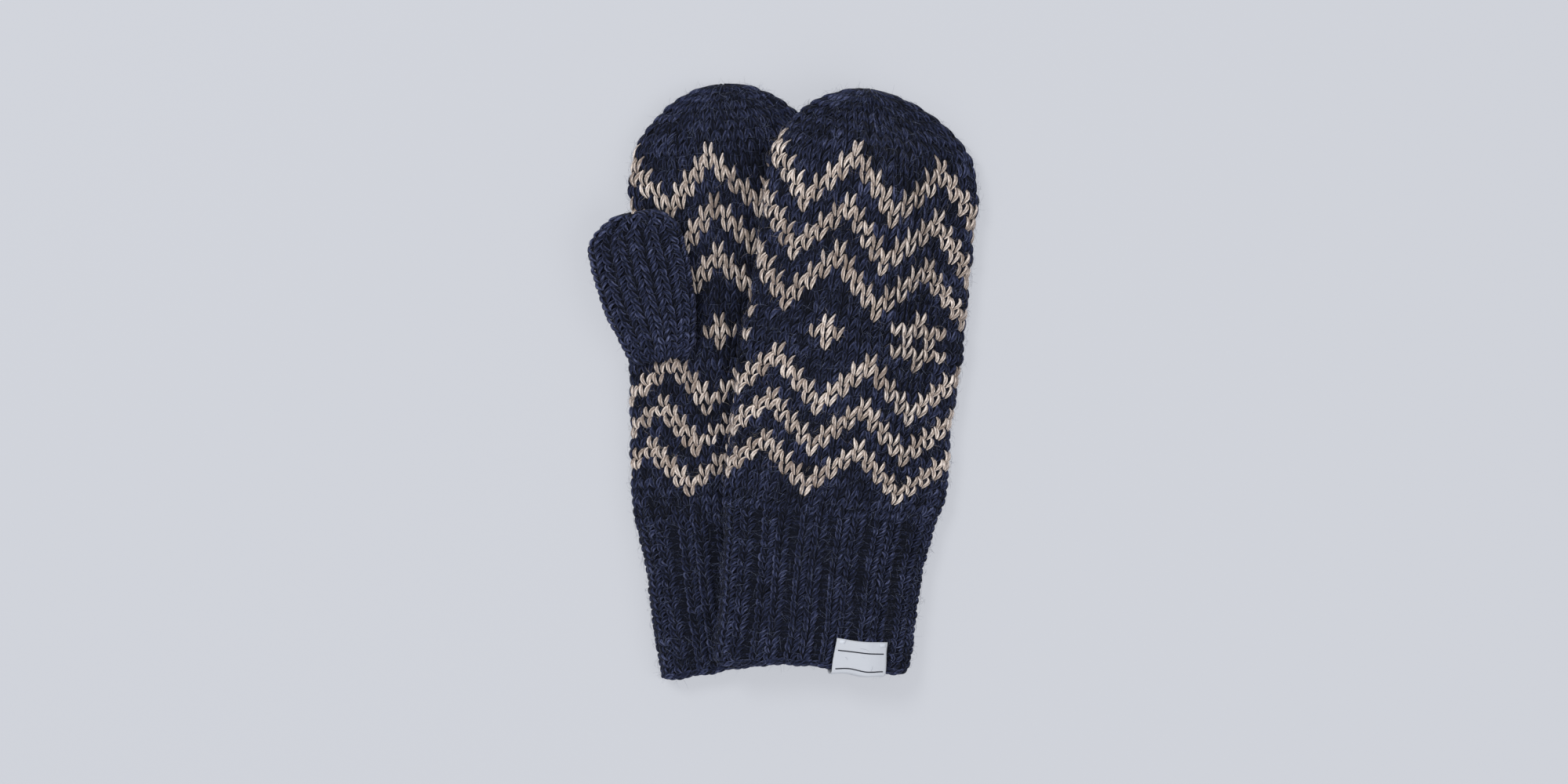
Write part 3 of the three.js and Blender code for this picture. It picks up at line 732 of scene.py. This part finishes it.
def thumb(m, rng):
    side = m["side"]

    def place(lap, along, depth):
        return thumb_surface(m, lap, along, depth)
    yarn = Yarn()
    tip = THUMB_WIDTH[-1][0] + THUMB_TIP
    last = THUMB_WIDTH[-1][0]
    y = THUMB_FOOT
    while y < tip - 2:
        t = max(0.0, (y - last) / THUMB_TIP)
        half = station(THUMB_WIDTH, y, 1) * math.sqrt(1 - t * t)
        n = max(6, int(round(THUMB_STITCHES * half / 21))) if y > last else THUMB_STITCHES
        lap = (np.arange(n) + 0.5) * 2 / n
        pitch = THUMB_ROW * max(0.5, math.sqrt(1 - t * t))
        knit_stitches(yarn, place, lap, np.full(n, y), np.full(n, 6.8), np.full(n, pitch),
                      np.full(n, 2 / n), rng, radius=0.92, base_depth=-0.2,
                      spread=0.49, skew=0.05, long=1.45, sides=10, end_shade=0.35, thin=0.4,
                      light=0.64, uneven=0.08)
        y += pitch
    stitches = yarn.build(f"{side}_thumb_knit", NAVY)
    heights = [*np.arange(-9, tip - 5, 2.0), *np.linspace(tip - 5, tip - 1.2, 6)]
    ground = shell(f"{side}_thumb_ground", place, heights, THUMB_WALL, SHADE_GROUND, laps=64,
                   backing=0.8)
    yarn = Yarn()
    # The hidden thumb lies on its neighbour, so that face of it has no loose fibres.
    low, high = (0, 2) if m["palm_up"] else (1.0, 2.0)
    laps = rng.uniform(low, high, THUMB_FIBRES)
    fibres(yarn, place, laps, rng.uniform(-8, tip - 3, THUMB_FIBRES), rng,
           lift=0.45 if m["palm_up"] else 0.2)
    halo = yarn.build(f"{side}_thumb_halo", HALO)
    start = place(0.5, -9.0, 0.0)
    end = place(0.5, 10.0, 0.0)
    for piece in (stitches, ground, halo):
        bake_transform(piece)
    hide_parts(f"{side}_thumb")


HALO = wool("navy_halo", (0.015, 0.018, 0.04), (0.05, 0.062, 0.12), (0.26, 0.3, 0.44), sheen=0.1)
TAN_HALO = wool("tan_halo", (0.22, 0.18, 0.15), (0.38, 0.33, 0.29), (0.6, 0.54, 0.5), sheen=0.2)

for number, one in enumerate((LEFT, RIGHT)):
    rng = np.random.default_rng(11 + number)
    mitten(one, rng)
    thumb(one, rng)


# ---- label --------------------------------------------------------------------------------
def label_lap(m, x, y):
    left, right = station(m["outline"], y, 1), station(m["outline"], y, 2)
    half = (right - left) / 2
    run = half - LOFT / 2 + math.pi * LOFT / 4
    return 0.5 + (x - (left + right) / 2) / (2 * run)


def label_depth(height):
    return -LABEL_OUT - LABEL_LIFT * smooth(9, 14, height)


def label_path():
    """The fold's section: (height, depth) from the outer leaf's top, round the hem, inside."""
    outer = [(y, label_depth(y)) for y in np.linspace(LABEL["top"], 1.0, 12)]
    turn = [(-0.9 - 1.3 * math.sin(a), WALL / 2 - (WALL / 2 + LABEL_OUT) * math.cos(a))
            for a in np.linspace(0.15, math.pi - 0.15, 9)]
    inside = [(y, WALL + LABEL_OUT) for y in np.linspace(1.0, LABEL["tuck"], 6)]
    return np.array(outer + turn + inside)


def thin_sheet(name, grid, thick, material):
    """A closed sheet: a grid of points and the same grid a little way in along its normals."""
    du, dv = np.gradient(grid, axis=1), np.gradient(grid, axis=0)
    normal = unit(np.cross(du, dv))
    rows, cols, _ = grid.shape
    points = np.concatenate([(grid + normal * thick / 2).reshape(-1, 3),
                             (grid - normal * thick / 2).reshape(-1, 3)])
    half = rows * cols
    faces = []
    for r in range(rows - 1):
        for c in range(cols - 1):
            a, b = r * cols + c, r * cols + c + 1
            d, e = a + cols, b + cols
            faces += [(a, b, e, d), (half + a, half + d, half + e, half + b)]
    rim = [*range(cols), *range(2 * cols - 1, half, cols),
           *range(half - 2, half - cols - 1, -1), *range(half - 2 * cols, 0, -cols)]
    for a, b in zip(rim, rim[1:] + rim[:1]):
        faces.append((b, a, half + a, half + b))
    mesh = bpy.data.meshes.new(name)
    mesh.from_pydata(points.tolist(), [], faces)
    mesh.polygons.foreach_set("use_smooth", np.ones(len(mesh.polygons), bool))
    return new_object(name, mesh, material)


def label_point(across, path, lift=0.0):
    """A point of the label: `across` 0 to 1 over its width, `path` as (height, depth)."""
    height, depth = path[..., 0], path[..., 1]
    x = LABEL["left"] + (LABEL["right"] - LABEL["left"]) * across
    up = smooth(3, 14, height)
    ripple = 0.22 * np.sin(across * 7.0 + 0.6) * up + 0.12 * np.sin(across * 17) * up
    sway = 0.35 * np.sin(across * 5.2 + 2.2) * up
    x = x + 0.8 * smooth(2, 14, height) * (1 - 2 * across)
    outer = depth < 0
    depth = np.where(outer, depth - np.abs(ripple) - lift, depth)
    return surface(RIGHT, label_lap(RIGHT, x, np.maximum(height, 0)), height + sway, depth)


def cloth_material():
    material, tree, shader = new_material("label_cloth")
    nodes, links = tree.nodes, tree.links
    where = nodes.new("ShaderNodeTexCoord")
    turn = nodes.new("ShaderNodeMapping")
    turn.inputs["Rotation"].default_value = (0, 0, math.radians(5.6))
    links.new(where.outputs["Object"], turn.inputs["Vector"])
    weave = []
    for direction in ("X", "Y"):
        wave = nodes.new("ShaderNodeTexWave")
        wave.bands_direction = direction
        wave.inputs["Scale"].default_value = 900
        wave.inputs["Distortion"].default_value = 0.6
        links.new(turn.outputs["Vector"], wave.inputs["Vector"])
        weave.append(wave)
    mix = nodes.new("ShaderNodeMath")
    mix.operation = "MULTIPLY"
    links.new(weave[0].outputs["Fac"], mix.inputs[0])
    links.new(weave[1].outputs["Fac"], mix.inputs[1])
    ramp = nodes.new("ShaderNodeValToRGB")
    ramp.color_ramp.elements[0].color = (0.45, 0.47, 0.51, 1)
    ramp.color_ramp.elements[1].color = (0.56, 0.58, 0.62, 1)
    links.new(mix.outputs["Value"], ramp.inputs["Fac"])
    links.new(ramp.outputs["Color"], shader.inputs["Base Color"])
    bump = nodes.new("ShaderNodeBump")
    bump.inputs["Strength"].default_value = 0.3
    bump.inputs["Distance"].default_value = 0.0001
    links.new(mix.outputs["Value"], bump.inputs["Height"])
    links.new(bump.outputs["Normal"], shader.inputs["Normal"])
    shader.inputs["Roughness"].default_value = 0.7
    shader.inputs["Sheen Weight"].default_value = 0.2
    return material


CLOTH = cloth_material()
THREAD = wool("dark_thread", (0.006, 0.008, 0.014), (0.012, 0.014, 0.022), (0.03, 0.035, 0.05))
PALE_THREAD = wool("pale_thread", (0.5, 0.53, 0.58), (0.62, 0.65, 0.70), (0.72, 0.75, 0.8))

path = label_path()
across = np.linspace(0, 1, 33)
grid = label_point(across[None, :], path[:, None, :])
label = thin_sheet("right_label_cloth", grid, LABEL_CLOTH * MM, CLOTH)
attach(label, "right_mitten")
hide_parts("right_label")

lines = Yarn()
for height in LABEL_LINES:
    t = np.linspace(0.06, 0.94, 60)
    at = np.stack([np.full(60, height), np.full(60, label_depth(height))], -1)
    centres = label_point(t, at, lift=0.2)[None]
    normals = np.broadcast_to(np.array([0.0, 0.0, 1.0]), centres.shape)
    lines.add(centres, normals, np.full((1, 60), 0.28 * MM), sides=6, flat=0.5)
stripes = lines.build("right_label_lines", THREAD)
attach(stripes, "right_mitten")

for number, centre in enumerate((0.1, 0.9)):
    bars = Yarn()
    for k in range(5):
        t = np.linspace(-1, 1, 5)
        at = np.stack([TACK_HEIGHT + TACK_STEP * (k - 2) + 0.12 * t, np.full(5, -1.38)], -1)
        centres = label_point(centre + 0.055 * t, at, lift=0.22)[None]
        normals = np.broadcast_to(np.array([0.0, 0.0, 1.0]), centres.shape)
        bars.add(centres, normals, np.full((1, 5), 0.17 * MM), sides=6)
    tack = bars.build(f"right_label_tack_{number + 1}_stitches", PALE_THREAD)
    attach(tack, "right_mitten")
    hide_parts(f"right_label_tack_{number + 1}")

# ---- floor, camera and lights -------------------------------------------------------------
middle = (cad_low + cad_high) / 2
bpy.ops.mesh.primitive_plane_add(size=6, location=(middle.x, middle.y, cad_low.z - 0.0004))
floor = bpy.context.object
floor.name = "floor"
paper, _, paper_shader = new_material("pale_paper")
paper_shader.inputs["Base Color"].default_value = (0.12, 0.1235, 0.131, 1)
paper_shader.inputs["Emission Color"].default_value = (0.645, 0.665, 0.72, 1)
paper_shader.inputs["Emission Strength"].default_value = 0.722
paper_shader.inputs["Roughness"].default_value = 0.9
floor.data.materials.append(paper)

camera_data = bpy.data.cameras.new("camera")
camera = bpy.data.objects.new("camera", camera_data)
bpy.context.scene.collection.objects.link(camera)
bpy.context.scene.camera = camera
VIEW_WIDTH = 0.7246           # of the floor that the picture takes in
CAMERA_HEIGHT = 2.4
CAMERA_SHIFT = (-0.0013, -0.0048)
SENSOR = 36
camera.location = (middle.x + CAMERA_SHIFT[0], middle.y + CAMERA_SHIFT[1], CAMERA_HEIGHT)
camera_data.sensor_width = SENSOR
camera_data.lens = SENSOR * (CAMERA_HEIGHT - middle.z) / VIEW_WIDTH


def area_light(name, place, size, power, colour=(1, 1, 1)):
    data = bpy.data.lights.new(name, "AREA")
    data.shape = "DISK"
    data.size = size
    data.energy = power
    data.color = colour
    light = bpy.data.objects.new(name, data)
    bpy.context.scene.collection.objects.link(light)
    light.location = place
    aim = middle - light.location
    light.rotation_euler = aim.to_track_quat("-Z", "Y").to_euler()


area_light("key", (-1.1, 1.0, 1.9), 0.9, 34)
area_light("fill", (1.4, -0.6, 1.8), 1.6, 16)
area_light("front", (0.1, -1.8, 1.3), 1.4, 8)
world = bpy.data.worlds.new("studio")
bpy.context.scene.world = world
world.use_nodes = True
world.node_tree.nodes["Background"].inputs["Color"].default_value = (0.93, 0.95, 1.0, 1)
world.node_tree.nodes["Background"].inputs["Strength"].default_value = 0.55
bpy.context.scene.view_settings.view_transform = "Standard"
